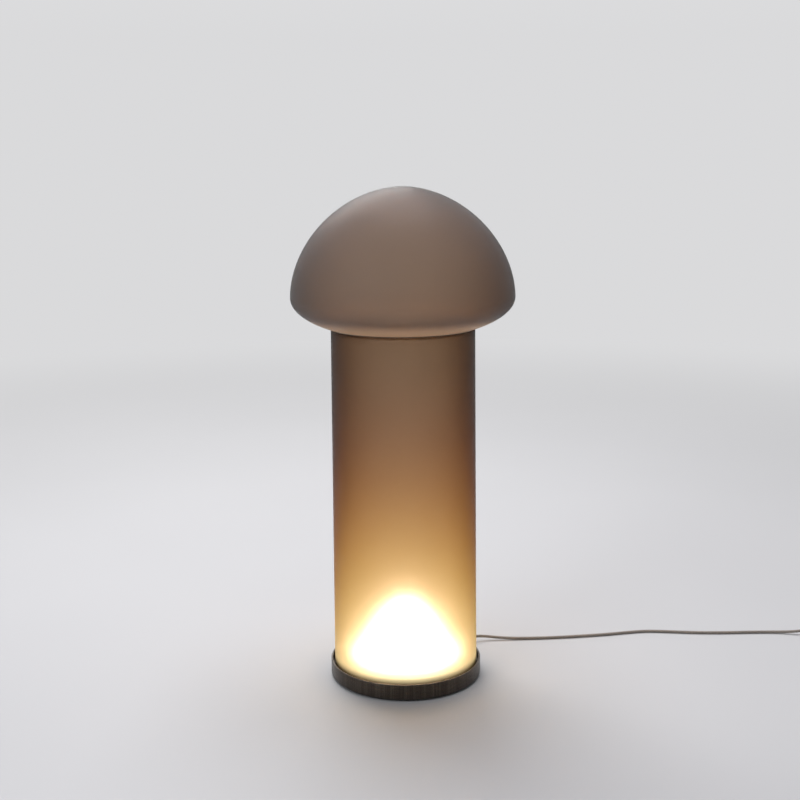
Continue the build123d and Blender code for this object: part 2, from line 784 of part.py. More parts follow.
turn_ends = half_turn_ends()
with BuildPart() as cord_coil:
    with BuildLine() as windings:
        Line(turn_ends[0] - Vector(lead_in, 0, 0), turn_ends[0])
        for number, (here, there) in enumerate(zip(turn_ends, turn_ends[1:])):
            heading = Vector(1, 0, 0) if number % 2 == 0 else Vector(-1, 0, 0)
            chord = there - here
            halfway = (here + there) * 0.5 + heading * (chord.length / 2)
            TangentArc(here, halfway, tangent=heading)
            TangentArc(halfway, there, tangent=chord)
        Line(turn_ends[-1], turn_ends[-1] - heading * lead_in)
    winding = windings.wire()
    with BuildSketch(Plane(origin=winding @ 0, z_dir=winding % 0)):
        Circle(cord_radius)
    sweep(path=winding)
cord_coil.part.label = "cord_coil"
export_step(cord_coil.part, "parts/cord_coil.step")
coil_share = cord_coil.part.volume / (pi * cord_radius**2 * winding.length)
print(f"coil: {winding.length:.0f} mm, volume {coil_share:.4f}, gap {least_gap(winding):.2f} mm")

coil_inner = coil_outer - half_turns_each * half_pitch
coil_top = coil_start + (layer_count - 1) * layer_pitch + cord_radius
tie_near = sqrt((coil_inner - cord_radius) ** 2 - (tie_width / 2) ** 2) - half_pitch / 2
tie_far = coil_outer + cord_radius + tie_clearance
tie_height = coil_top + tie_clearance

with BuildPart() as coil_tie:
    with BuildSketch(Plane.XZ.offset(-coil_y)):
        with Locations((coil_x + (tie_near + tie_far) / 2, (tie_height + tie_thickness) / 2)):
            RectangleRounded(
                tie_far - tie_near + 2 * tie_thickness, tie_height + tie_thickness, 3 * tie_thickness
            )
            RectangleRounded(
                tie_far - tie_near,
                tie_height - tie_thickness,
                2 * tie_thickness,
                mode=Mode.SUBTRACT,
            )
    extrude(amount=tie_width / 2, both=True)
coil_tie.part.label = "coil_tie"
export_step(coil_tie.part, "parts/coil_tie.step")

plug_axis = plug_height / 2
plug_back = plug_x - plug_relief
plug_face = plug_back - plug_length


def plug_plane(x):
    """An upright plane across the plug at that X, facing along its pins, away from the cord."""
    return Plane(origin=(x, plug_y, plug_axis), x_dir=(0, 1, 0), z_dir=(-1, 0, 0))


with BuildPart() as plug_body:
    with BuildSketch(plug_plane(plug_face)):
        RectangleRounded(plug_width, plug_height, plug_height * 0.45)
    with BuildSketch(plug_plane(plug_face + plug_length / 2)):
        RectangleRounded(plug_width, plug_height, plug_height * 0.45)
    loft()
    with BuildSketch(plug_plane(plug_face + plug_length / 2)):
        RectangleRounded(plug_width, plug_height, plug_height * 0.45)
    with BuildSketch(plug_plane(plug_back)):
        RectangleRounded(plug_width * 0.5, plug_height * 0.8, plug_height * 0.35)
    loft()
    with BuildSketch(plug_plane(plug_back)):
        Circle(2 * cord_radius)
    with BuildSketch(plug_plane(plug_x)):
        Circle(bushing_tip)
    loft()
    with BuildSketch(plug_plane(plug_face)):
        with GridLocations(pin_spacing, 1, 2, 1):
            Circle((pin_radius + pin_core) / 2 + running_fit)
    extrude(amount=pin_sleeve)
    with BuildSketch(plug_plane(plug_face + pin_root)):
        with GridLocations(pin_spacing, 1, 2, 1):
            Circle(pin_core + running_fit)
    extrude(amount=pin_root + pin_sleeve, mode=Mode.SUBTRACT)
plug_body.part.label = "plug_body"
export_step(plug_body.part, "parts/plug_body.step")

with BuildPart() as plug_pins:
    with BuildSketch(plug_plane(plug_face + pin_root)):
        with GridLocations(pin_spacing, 1, 2, 1):
            Circle(pin_core)
    extrude(amount=pin_root + pin_sleeve)
    with BuildSketch(plug_plane(plug_face - pin_sleeve)):
        with GridLocations(pin_spacing, 1, 2, 1):
            Circle(pin_radius)
    extrude(amount=pin_length - pin_sleeve)
    fillet(plug_pins.edges().group_by(Axis.X)[0], pin_radius * 0.6)
plug_pins.part.label = "plug_pins"
export_step(plug_pins.part, "parts/plug_pins.step")

# ---------------------------------------------------------------- free stretches of the cord
switch_in = switch_x - switch_length / 2
switch_out = switch_x + switch_length / 2
coil_end = turn_ends[-1]
exit_tip = across_exit(bushing_end).origin

floor_level = cord_radius + 0.1

lamp_side_points = [
    (exit_tip.X, exit_tip.Y, exit_tip.Z),
    (93.0, 93.0, 8.2),
    (100.8, 99.3, 7.8),
    (110.2, 102.6, 6.6),
    (121.5, 104.2, 5.0),
    (136.0, 104.0, 3.5),
    (153.0, 103.9, 2.5),
    (172.0, 104.6, floor_level),
    (200.0, 105.8, floor_level),
    (229.0, 108.4, floor_level),
    (257.0, 112.2, floor_level),
    (283.0, 116.0, floor_level),
    (309.0, 121.2, floor_level),
    (335.0, 127.0, floor_level),
    (354.0, 128.6, floor_level),
    (378.0, 126.3, floor_level),
    (403.0, 123.0, floor_level),
    (432.0, 120.6, floor_level),
    (465.0, 120.2, floor_level),
    (499.0, 121.6, floor_level),
    (530.0, 121.4, floor_level),
    (554.0, 118.2, 3.2),
    (571.0, 114.2, 6.2),
    (584.0, switch_y, switch_half),
    (switch_in, switch_y, switch_half),
]

switch_side_points = [
    (switch_out, switch_y, switch_half),
    (switch_out + 13.0, switch_y, switch_half),
    (switch_out + 29.0, switch_y + 0.8, 7.4),
    (switch_out + 47.0, switch_y + 0.6, 4.6),
    (switch_out + 62.0, switch_y, coil_start),
    (turn_ends[0].X - lead_in, switch_y, coil_start),
]

plug_side_points = [
    (coil_end.X - lead_in, coil_end.Y, coil_end.Z),
    (coil_end.X - 14.0, coil_end.Y, coil_end.Z),
    (coil_end.X - 27.0, coil_end.Y + 1.0, 16.8),
    (coil_end.X - 41.0, coil_end.Y + 3.2, 12.6),
    (coil_end.X - 54.5, plug_y + 0.8, 8.8),
    (plug_x + 12.0, plug_y, plug_axis),
    (plug_x, plug_y, plug_axis),
]

cord_lamp_side, lamp_side_length = cord_tube("lamp side", lamp_side_points)
cord_lamp_side.label = "cord_lamp_side"
export_step(cord_lamp_side, "parts/cord_lamp_side.step")

cord_switch_side, switch_side_length = cord_tube("switch side", switch_side_points)
cord_switch_side.label = "cord_switch_side"
export_step(cord_switch_side, "parts/cord_switch_side.step")

cord_plug_side, plug_side_length = cord_tube("plug side", plug_side_points)
cord_plug_side.label = "cord_plug_side"
export_step(cord_plug_side, "parts/cord_plug_side.step")

free_length = lamp_side_length + switch_side_length + plug_side_length
print(f"cord: {free_length + winding.length + switch_length:.0f} mm from the base to the plug")

# ---------------------------------------------------------------- glass
with BuildPart() as glass_tube:
    with BuildSketch(Plane.XY.offset(tube_bottom)):
        Circle(tube_radius)
        Circle(tube_bore, mode=Mode.SUBTRACT)
    extrude(amount=tube_length)
    chamfer(glass_tube.edges(), glass_edge)
glass_tube.part.label = "glass_tube"
export_step(glass_tube.part, "parts/glass_tube.step")

with BuildPart() as cap_seal:
    with BuildSketch(Plane.XY.offset(tube_top)):
        Circle(tube_radius - seal_inset)
        Circle(neck_radius + ring_clearance, mode=Mode.SUBTRACT)
    extrude(amount=seal_thickness)
cap_seal.part.label = "cap_seal"
export_step(cap_seal.part, "parts/cap_seal.step")

neck_bore = neck_radius - neck_wall
inner_cap = cap_radius - cap_wall
inner_bowl = bowl_depth - cap_wall
inner_dome = dome_height - cap_wall
shoulder_turn = 90 - degrees(asin(shoulder_radius / cap_radius))
neck_turn = 90 - degrees(asin(neck_bore / inner_cap))
curve_points = 9

with BuildPart() as glass_cap:
    with BuildSketch(Plane.XZ):
        with BuildLine():
            outside = swell(cap_radius, dome_height, dome_power, equator, 0, 90, curve_points)
            inside = swell(inner_cap, inner_dome, dome_power, equator, 0, 90, curve_points)
            under = swell(cap_radius, -bowl_depth, 2, equator, 0, shoulder_turn, curve_points)
            floor_line = swell(inner_cap, -inner_bowl, 2, equator, 0, neck_turn, curve_points)
            neck_end = shoulder - neck_depth
            Spline(*outside, tangents=((0, 1), (-1, 0)))
            Line(outside[-1], inside[-1])
            Spline(*reversed(inside), tangents=((1, 0), (0, -1)))
            Spline(*floor_line)
            Line(floor_line[-1], (neck_bore, neck_end))
            Line((neck_bore, neck_end), (neck_radius, neck_end))
            Line((neck_radius, neck_end), (neck_radius, shoulder))
            Line((neck_radius, shoulder), under[-1])
            Spline(*reversed(under))
        make_face()
    revolve(axis=Axis.Z)
glass_cap.part.label = "glass_cap"
export_step(glass_cap.part, "parts/glass_cap.step")
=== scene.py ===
"""A mushroom floor lamp dressed for its picture: smoked frosted glass on a brushed steel cup.

Metres, +Z up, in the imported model's own frame. The front faces -Y.
"""

from math import cos, pi, radians, sin, sqrt

import bpy
import numpy as np
from mathutils import Matrix, Vector


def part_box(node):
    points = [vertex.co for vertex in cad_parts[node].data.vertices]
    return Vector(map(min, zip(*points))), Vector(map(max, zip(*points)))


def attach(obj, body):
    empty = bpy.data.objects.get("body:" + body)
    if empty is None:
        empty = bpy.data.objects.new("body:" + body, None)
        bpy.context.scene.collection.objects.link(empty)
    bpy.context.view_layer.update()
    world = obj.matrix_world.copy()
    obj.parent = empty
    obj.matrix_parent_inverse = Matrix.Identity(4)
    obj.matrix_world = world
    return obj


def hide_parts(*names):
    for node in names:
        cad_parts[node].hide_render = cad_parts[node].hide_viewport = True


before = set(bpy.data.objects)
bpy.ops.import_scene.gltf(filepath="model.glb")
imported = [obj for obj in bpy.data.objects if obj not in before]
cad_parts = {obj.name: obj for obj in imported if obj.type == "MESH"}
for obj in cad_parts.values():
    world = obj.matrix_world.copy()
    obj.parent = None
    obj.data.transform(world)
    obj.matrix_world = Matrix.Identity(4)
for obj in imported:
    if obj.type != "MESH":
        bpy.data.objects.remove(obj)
bpy.context.view_layer.update()
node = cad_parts

# ---------------------------------------------------------------- sizes shared by the pieces
tube_radius = 0.095
tube_wall = 0.004
tube_bottom = 0.014
tube_top = 0.466
glass_edge = 0.0006
shoulder = 0.467
shoulder_radius = 0.0955
equator = 0.5082
cap_radius = 0.1475
cap_wall = 0.0035
dome_height = 0.144
dome_power = 1.876
neck_radius = 0.0902
neck_end = 0.462
bowl_depth = (equator - shoulder) / sqrt(1 - (shoulder_radius / cap_radius) ** 2)
cord_diameter = 0.004

# ---------------------------------------------------------------- heights of the painted glow and the painted shade
tray_shade_low = 0.018
tray_shade_high = 0.031
glow_end = 0.47
rim_painted_glow_low = 0.472
rim_painted_glow_high = 0.488


# ---------------------------------------------------------------- camera
def photograph_camera():
    """The picture's own viewpoint: in front, two thirds of a metre up, tipped gently down."""
    place = Matrix.Translation((0.0019, -1.6149, 0.6801))
    degrees_turned, degrees_down, degrees_rolled = 0.124, 5.33, -0.495
    lens = bpy.data.cameras.new("camera")
    lens.lens = 55.66
    lens.sensor_width = 36.0
    lens.shift_x = -0.0017
    lens.shift_y = -0.15
    lens.clip_start = 0.01
    lens.clip_end = 60.0
    camera = bpy.data.objects.new("camera", lens)
    bpy.context.scene.collection.objects.link(camera)
    turn = Matrix.Rotation(radians(degrees_turned), 4, "Z")
    tip = Matrix.Rotation(radians(90 - degrees_down), 4, "X")
    roll = Matrix.Rotation(radians(degrees_rolled), 4, "Z")
    camera.matrix_world = place @ turn @ tip @ roll
    bpy.context.scene.camera = camera


# ---------------------------------------------------------------- shader building
NOISE_LOW = 0.3
NOISE_HIGH = 0.7


def link(tree, source, target):
    """Joins two sockets."""
    tree.links.new(source, target)


def add(tree, kind, feeds=None, **settings):
    """Adds one node: settings are its own options, feeds gives each input a value or a link."""
    one = tree.nodes.new(kind)
    for key, value in settings.items():
        setattr(one, key, value)
    for key, value in (feeds or {}).items():
        if isinstance(value, bpy.types.NodeSocket):
            link(tree, value, one.inputs[key])
        else:
            one.inputs[key].default_value = value
    return one


def calc(tree, operation, a, b=0.0, clamp=False):
    """One sum on two numbers or links."""
    feeds = {0: a, 1: b}
    return add(tree, "ShaderNodeMath", feeds, operation=operation, use_clamp=clamp).outputs[0]


def between(tree, value, low, high, to_low=0.0, to_high=1.0, smooth=False):
    """Carries a value from one range to another, held at both ends."""
    feeds = {"Value": value, "From Min": low, "From Max": high}
    feeds.update({"To Min": to_low, "To Max": to_high})
    kind = "SMOOTHSTEP" if smooth else "LINEAR"
    return add(tree, "ShaderNodeMapRange", feeds, interpolation_type=kind).outputs["Result"]


def from_noise(tree, noise, to_low=0.0, to_high=1.0):
    """Carries a noise, from the range that most of it lies in, to another range."""
    return between(tree, noise, NOISE_LOW, NOISE_HIGH, to_low, to_high)


def blend_colours(tree, share, first, second, way="MIX"):
    """Mixes two colours by a share."""
    mix = add(tree, "ShaderNodeMix", {"Factor": share}, data_type="RGBA", blend_type=way)
    for socket, colour in (("A_Color", first), ("B_Color", second)):
        target = next(s for s in mix.inputs if s.identifier == socket)
        if isinstance(colour, bpy.types.NodeSocket):
            link(tree, colour, target)
        else:
            target.default_value = (*colour, 1.0)
    return next(s for s in mix.outputs if s.identifier == "Result_Color")


def group(name, numbers, outputs):
    """An empty shader group with number inputs, and outputs that are numbers."""
    tree = bpy.data.node_groups.new(name, "ShaderNodeTree")
    for label, value in numbers.items():
        socket = tree.interface.new_socket(label, in_out="INPUT", socket_type="NodeSocketFloat")
        socket.default_value = value
    for label in outputs:
        tree.interface.new_socket(label, in_out="OUTPUT", socket_type="NodeSocketFloat")
    entry = tree.nodes.new("NodeGroupInput")
    leave = tree.nodes.new("NodeGroupOutput")
    return tree, entry.outputs, leave.inputs


def fine_grain():
    """Two sizes of soft noise in the piece's own metres: a height and an even tone about 0.5."""
    numbers = {"Grain per metre": 2500.0, "Cloud per metre": 14.0}
    tree, given, made = group("fine_grain", numbers, ("Height", "Cloud"))
    place = add(tree, "ShaderNodeTexCoord").outputs["Object"]
    small = add(tree, "ShaderNodeTexNoise", {"Vector": place, "Scale": given[0], "Detail": 3.0})
    large = add(tree, "ShaderNodeTexNoise", {"Vector": place, "Scale": given[1], "Detail": 2.0})
    link(tree, small.outputs[0], made["Height"])
    link(tree, large.outputs[0], made["Cloud"])
    return tree


def turned_lines():
    """Lines in a piece turned about its Z axis.

    The noise is read at (x / r times Across, y / r times Across, (z + r) times Along), where r is
    the distance from the axis. Few Across and many Along give lines that run round the piece, and
    many Across with few Along give streaks that run up it. Tone is a broader noise at that place.
    """
    breadth = 0.18
    numbers = {"Across": 3.0, "Along per metre": 2600.0}
    tree, given, made = group("turned_lines", numbers, ("Height", "Tone"))
    place = add(tree, "ShaderNodeTexCoord").outputs["Object"]
    split = add(tree, "ShaderNodeSeparateXYZ", {0: place}).outputs
    flat = add(tree, "ShaderNodeCombineXYZ", {"X": split["X"], "Y": split["Y"]}).outputs[0]
    radius = add(tree, "ShaderNodeVectorMath", {0: flat}, operation="LENGTH").outputs["Value"]
    way = add(tree, "ShaderNodeVectorMath", {0: flat}, operation="NORMALIZE").outputs[0]
    feeds = {0: way, "Scale": given["Across"]}
    ring = add(tree, "ShaderNodeVectorMath", feeds, operation="SCALE").outputs[0]
    along = calc(tree, "MULTIPLY", calc(tree, "ADD", split["Z"], radius), given["Along per metre"])
    rise = add(tree, "ShaderNodeCombineXYZ", {"Z": along}).outputs[0]
    where = add(tree, "ShaderNodeVectorMath", {0: ring, 1: rise}, operation="ADD").outputs[0]
    lines = add(tree, "ShaderNodeTexNoise", {"Vector": where, "Scale": 1.0, "Detail": 2.0})
    broad = add(tree, "ShaderNodeTexNoise", {"Vector": where, "Scale": breadth, "Detail": 2.0})
    link(tree, lines.outputs[0], made["Height"])
    link(tree, broad.outputs[0], made["Tone"])
    return tree


def settled_dust():
    """How much dust lies on a surface: more where it faces up, broken up by noise."""
    numbers = {"Amount": 0.3, "Patches per metre": 90.0}
    tree, given, made = group("settled_dust", numbers, ("Mask",))
    facing = add(tree, "ShaderNodeNewGeometry").outputs["Normal"]
    up = add(tree, "ShaderNodeSeparateXYZ", {0: facing}).outputs["Z"]
    place = add(tree, "ShaderNodeTexCoord").outputs["Object"]
    feeds = {"Vector": place, "Scale": given["Patches per metre"], "Detail": 5.0}
    patches = add(tree, "ShaderNodeTexNoise", feeds).outputs[0]
    level = between(tree, up, 0.1, 1.0)
    spread = between(tree, patches, 0.35, 0.75)
    mask = calc(tree, "MULTIPLY", calc(tree, "MULTIPLY", level, spread), given["Amount"], True)
    link(tree, mask, made["Mask"])
    return tree


GRAIN = fine_grain()
LINES = turned_lines()
DUST = settled_dust()


def place_group(tree, made, **numbers):
    """Places a shared group in a material with its own values, given as words_with_underscores."""
    one = add(tree, "ShaderNodeGroup", node_tree=made)
    for key, value in numbers.items():
        one.inputs[key.replace("_", " ")].default_value = value
    return one.outputs


def blank(name, **constants):
    """A material with one Principled shader, with its whole-surface numbers on its sockets."""
    material = bpy.data.materials.new(name)
    material.use_nodes = True
    tree = material.node_tree
    shader = next(n for n in tree.nodes if n.type == "BSDF_PRINCIPLED")
    for key, value in constants.items():
        shader.inputs[key.replace("_", " ")].default_value = value
    return material, tree, shader.inputs


def raise_bump(tree, shader, height, strength, distance):
    """Feeds a height to the shader's normal."""
    feeds = {"Height": height, "Strength": strength, "Distance": distance}
    bump = add(tree, "ShaderNodeBump", feeds)
    link(tree, bump.outputs[0], shader["Normal"])


# ---------------------------------------------------------------- finishes
SMOKE = (0.54, 0.38, 0.20)
DARK = (0.0, 0.0, 0.0)


def fading_glow(tree, left, strengths, powers):
    """A colour that fades: each of its parts is a strength times what is left, to a power."""
    parts = {}
    for channel, (strength, power) in enumerate(zip(strengths, powers)):
        parts[channel] = calc(tree, "MULTIPLY", calc(tree, "POWER", left, power), strength)
    return add(tree, "ShaderNodeCombineColor", parts).outputs[0]


def smoked_glass(name, density, **constants):
    """Smoke-brown glass, whose colour is in its depth and whose faces are etched to a satin.

    The etching's fine grains scatter light widely, and the face between them scatters it less.
    Gives the material, its tree, the shader's inputs and the parts of the place on the piece.
    """
    grain_from, grain_full = 0.522, 0.562
    satin, matt = 0.41, 1.0
    material, tree, shader = blank(name, Emission_Strength=1.0, **constants)
    grain = place_group(tree, GRAIN, Grain_per_metre=3200.0, Cloud_per_metre=9.0)
    cloud = from_noise(tree, grain["Cloud"])
    tint = blend_colours(tree, cloud, (0.93, 0.91, 0.89), (0.98, 0.96, 0.94))
    link(tree, tint, shader["Base Color"])
    etched = between(tree, grain["Height"], grain_from, grain_full, satin, matt)
    link(tree, etched, shader["Roughness"])
    raise_bump(tree, shader, grain["Height"], 0.12, 0.0002)
    depth = add(tree, "ShaderNodeVolumeAbsorption", {"Color": (*SMOKE, 1.0), "Density": density})
    leave = next(n for n in tree.nodes if n.type == "OUTPUT_MATERIAL")
    link(tree, depth.outputs[0], leave.inputs["Volume"])
    place = add(tree, "ShaderNodeTexCoord").outputs["Object"]
    return material, tree, shader, add(tree, "ShaderNodeSeparateXYZ", {0: place}).outputs


def column_satin_painted_glow():
    """The column's glass, with a painted glow for the lamp's light in it: an emission that fades
    from the tray's rim to nothing at its top.

    The outer face has an amber share of the painted glow. The inner face has a paler one, which
    the smoke in the wall weakens more where it crosses the wall at a slant. The foot, where the
    tray shades the glass, has painted shade: no glow.
    """
    material, tree, shader, place = smoked_glass(
        "smoked_glass", density=365.0, IOR=1.18, Transmission_Weight=0.985
    )
    flat = add(tree, "ShaderNodeCombineXYZ", {"X": place["X"], "Y": place["Y"]}).outputs[0]
    radius = add(tree, "ShaderNodeVectorMath", {0: flat}, operation="LENGTH").outputs["Value"]
    # Painted glow: an emission colour for the lamp's light scattered in the glass, amber on the
    # outer face and paler on the inner.
    left = between(tree, place["Z"], glow_end, 0.0)
    amber = fading_glow(tree, left, strengths=(0.62, 0.50, 0.30), powers=(3.3, 5.0, 10.0))
    pale = fading_glow(tree, left, strengths=(0.85, 1.18, 1.2), powers=(2.6, 3.6, 6.0))
    outer = between(tree, radius, tube_radius - 0.003, tube_radius - 0.001)
    glow = blend_colours(tree, outer, pale, amber)
    # Painted shade: the glow is taken away at the foot, where the tray's rim shades the glass.
    lit = between(tree, place["Z"], tray_shade_low, tray_shade_high, smooth=True)
    link(tree, blend_colours(tree, lit, DARK, glow), shader["Emission Color"])
    return material


def cap_satin_painted_glow():
    """The cap's glass, milkier, with a painted glow that stands in for the column's light warming
    its rim above the seam.
    """
    material, tree, shader, place = smoked_glass(
        "smoked_glass_cap", density=430.0, IOR=1.16, Transmission_Weight=0.91
    )
    # Painted glow: a warm emission on the rim just above the seam.
    near = between(tree, place["Z"], rim_painted_glow_high, rim_painted_glow_low, smooth=True)
    above = calc(tree, "GREATER_THAN", place["Z"], shoulder + 0.0001)
    rim = calc(tree, "MULTIPLY", near, above)
    painted_rim_glow = blend_colours(tree, rim, DARK, (0.19, 0.122, 0.072))
    link(tree, painted_rim_glow, shader["Emission Color"])
    return material


def opal(name, strength):
    """Milky plastic that is lit from inside: warm white light, faintly uneven."""
    material, tree, shader = blank(name, Roughness=0.35, Emission_Strength=strength)
    grain = place_group(tree, GRAIN, Grain_per_metre=1800.0, Cloud_per_metre=30.0)
    cloud = from_noise(tree, grain["Cloud"])
    milk = blend_colours(tree, cloud, (0.84, 0.82, 0.78), (0.88, 0.86, 0.83))
    link(tree, milk, shader["Base Color"])
    raise_bump(tree, shader, grain["Height"], 0.05, 0.0001)
    glow = blend_colours(tree, cloud, (1.0, 0.90, 0.80), (1.0, 0.93, 0.84))
    link(tree, glow, shader["Emission Color"])
    return material


def brushed_steel():
    """Dark stainless steel, brushed: fine streaks up the wall over lines belted round the cup. The
    streaks up the wall are partly brushing marks and partly painted reflection, the streaked look
    of the cup's reflections put into its colour.

    The tone is a share of the fine streaks and a share of the broad ones, added together.
    """
    fine_share, broad_share = 0.6, 0.4
    material, tree, shader = blank("brushed_steel", Metallic=1.0, Anisotropic=0.75)
    streaks = place_group(tree, LINES, Across=85.0, Along_per_metre=9.0)
    lines = place_group(tree, LINES, Across=5.0, Along_per_metre=9000.0)
    dust = place_group(tree, DUST, Amount=0.12, Patches_per_metre=70.0)
    # Partly painted reflection: the streaks up the wall lighten and darken the colour as streaked
    # reflections would, besides marking the brushing.
    fine = between(tree, streaks["Height"], 0.35, 0.65)
    broad = between(tree, streaks["Tone"], 0.35, 0.65)
    fine_part = calc(tree, "MULTIPLY", fine, fine_share)
    tone = calc(tree, "ADD", fine_part, calc(tree, "MULTIPLY", broad, broad_share))
    steel = blend_colours(tree, tone, (0.060, 0.050, 0.042), (0.118, 0.101, 0.087))
    link(tree, blend_colours(tree, dust["Mask"], steel, (0.5, 0.48, 0.45)), shader["Base Color"])
    link(tree, from_noise(tree, lines["Height"], 0.22, 0.34), shader["Roughness"])
    belt = add(tree, "ShaderNodeTangent", direction_type="RADIAL", axis="Z").outputs[0]
    link(tree, belt, shader["Tangent"])
    raise_bump(tree, shader, lines["Height"], 0.25, 0.00005)
    return material


def turned_metal(name, dark, light, rough_low, rough_high):
    """Machined or plated metal: turned lines, a slightly uneven tone and a little dust."""
    material, tree, shader = blank(name, Metallic=1.0)
    lines = place_group(tree, LINES, Across=2.0, Along_per_metre=4000.0)
    dust = place_group(tree, DUST, Amount=0.2, Patches_per_metre=150.0)
    tone = from_noise(tree, lines["Tone"])
    metal = blend_colours(tree, tone, dark, light)
    link(tree, blend_colours(tree, dust["Mask"], metal, (0.45, 0.43, 0.40)), shader["Base Color"])
    rough = from_noise(tree, lines["Height"], rough_low, rough_high)
    link(tree, rough, shader["Roughness"])
    raise_bump(tree, shader, lines["Height"], 0.15, 0.00004)
    return material


def moulded(name, dark, light, rough_low, rough_high, grain_size, depth):
    """Moulded plastic, rubber or cast iron: a fine grain, an uneven tone and settled dust."""
    material, tree, shader = blank(name)
    grain = place_group(tree, GRAIN, Grain_per_metre=grain_size, Cloud_per_metre=60.0)
    dust = place_group(tree, DUST, Amount=0.1, Patches_per_metre=200.0)
    tone = from_noise(tree, grain["Cloud"])
    body = blend_colours(tree, tone, dark, light)
    link(tree, blend_colours(tree, dust["Mask"], body, (0.5, 0.47, 0.43)), shader["Base Color"])
    rough = from_noise(tree, grain["Height"], rough_low, rough_high)
    link(tree, rough, shader["Roughness"])
    raise_bump(tree, shader, grain["Height"], depth, 0.0002)
    return material


def cord_braid():
    """The cord's woven sleeve: two sets of yarns that wind round it in opposite directions.

    U runs along the cord and V round it. Each set is a triangle wave of V times the yarns plus or
    minus U times the turns, and the higher of the two shows. Where the weave is low, between the
    yarns, the colour is darkened with painted shade.
    """
    turns, yarns = 520.0, 6.0
    material, tree, shader = blank("cord_sheath", Sheen_Weight=0.25, Sheen_Roughness=0.5)
    unrolled = add(tree, "ShaderNodeTexCoord").outputs["UV"]
    where = add(tree, "ShaderNodeSeparateXYZ", {0: unrolled}).outputs
    along = calc(tree, "MULTIPLY", where["X"], turns)
    around = calc(tree, "MULTIPLY", where["Y"], yarns)
    first = calc(tree, "PINGPONG", calc(tree, "ADD", around, along), 0.5)
    second = calc(tree, "PINGPONG", calc(tree, "SUBTRACT", around, along), 0.5)
    weave = calc(tree, "MULTIPLY", calc(tree, "MAXIMUM", first, second), 2.0)
    over = calc(tree, "GREATER_THAN", first, second)
    grain = place_group(tree, GRAIN, Grain_per_metre=5000.0, Cloud_per_metre=25.0)
    yarn = blend_colours(tree, over, (0.30, 0.262, 0.222), (0.36, 0.318, 0.272))
    fade = from_noise(tree, grain["Cloud"], 0.86, 1.0)
    faded = add(tree, "ShaderNodeCombineColor", {0: fade, 1: fade, 2: fade}).outputs[0]
    worn = blend_colours(tree, 1.0, yarn, faded, "MULTIPLY")
    # Painted shade: darker where the weave is low, between the yarns.
    yarns_and_painted_shade = blend_colours(tree, between(tree, weave, 0.45, 0.9), (0.16, 0.135, 0.112), worn)
    link(tree, yarns_and_painted_shade, shader["Base Color"])
    link(tree, from_noise(tree, grain["Height"], 0.7, 0.9), shader["Roughness"])
    raise_bump(tree, shader, weave, 0.5, 0.0004)
    return material


# Each has a dark and a light tone, its lowest and its highest roughness, its grain per metre and
# the strength of its bump.
MOULDED = {
    "cast_iron": ((0.045, 0.043, 0.041), (0.07, 0.067, 0.063), 0.6, 0.8, 900.0, 0.6),
    "silicone": ((0.045, 0.032, 0.024), (0.07, 0.052, 0.04), 0.45, 0.6, 2600.0, 0.1),
    "white_tray": ((0.72, 0.71, 0.68), (0.78, 0.77, 0.74), 0.4, 0.55, 2400.0, 0.1),
    "led_board": ((0.80, 0.80, 0.78), (0.86, 0.86, 0.84), 0.35, 0.5, 1800.0, 0.05),
    "led_chip": ((0.80, 0.62, 0.16), (0.86, 0.70, 0.24), 0.3, 0.4, 3000.0, 0.1),
    "circuit_board": ((0.02, 0.11, 0.05), (0.03, 0.15, 0.07), 0.35, 0.5, 1200.0, 0.1),
    "driver_plastic": ((0.60, 0.60, 0.58), (0.66, 0.66, 0.64), 0.45, 0.6, 2200.0, 0.2),
    "component": ((0.028, 0.027, 0.026), (0.045, 0.043, 0.041), 0.35, 0.5, 2600.0, 0.2),
    "core_sheath": ((0.55, 0.54, 0.52), (0.62, 0.61, 0.59), 0.4, 0.55, 2600.0, 0.1),
    "fitting_plastic": ((0.27, 0.235, 0.20), (0.32, 0.28, 0.24), 0.4, 0.55, 2600.0, 0.25),
    "tie": ((0.035, 0.033, 0.031), (0.055, 0.052, 0.049), 0.75, 0.95, 1900.0, 0.9),
}
# Each has a dark and a light tone, and its lowest and its highest roughness.
TURNED = {
    "aluminium": ((0.70, 0.70, 0.70), (0.80, 0.80, 0.80), 0.3, 0.45),
    "screw_steel": ((0.48, 0.47, 0.45), (0.60, 0.59, 0.57), 0.25, 0.4),
    "brass": ((0.68, 0.50, 0.22), (0.80, 0.61, 0.30), 0.2, 0.35),
    "nickel": ((0.62, 0.59, 0.54), (0.74, 0.71, 0.66), 0.15, 0.28),
}
FINISH = {
    "smoked_glass": column_satin_painted_glow(),
    "opal": opal("opal", strength=11.5),
    "brushed_steel": brushed_steel(),
    "cord_sheath": cord_braid(),
}
FINISH.update({name: moulded(name, *values) for name, values in MOULDED.items()})
FINISH.update({name: turned_metal(name, *values) for name, values in TURNED.items()})


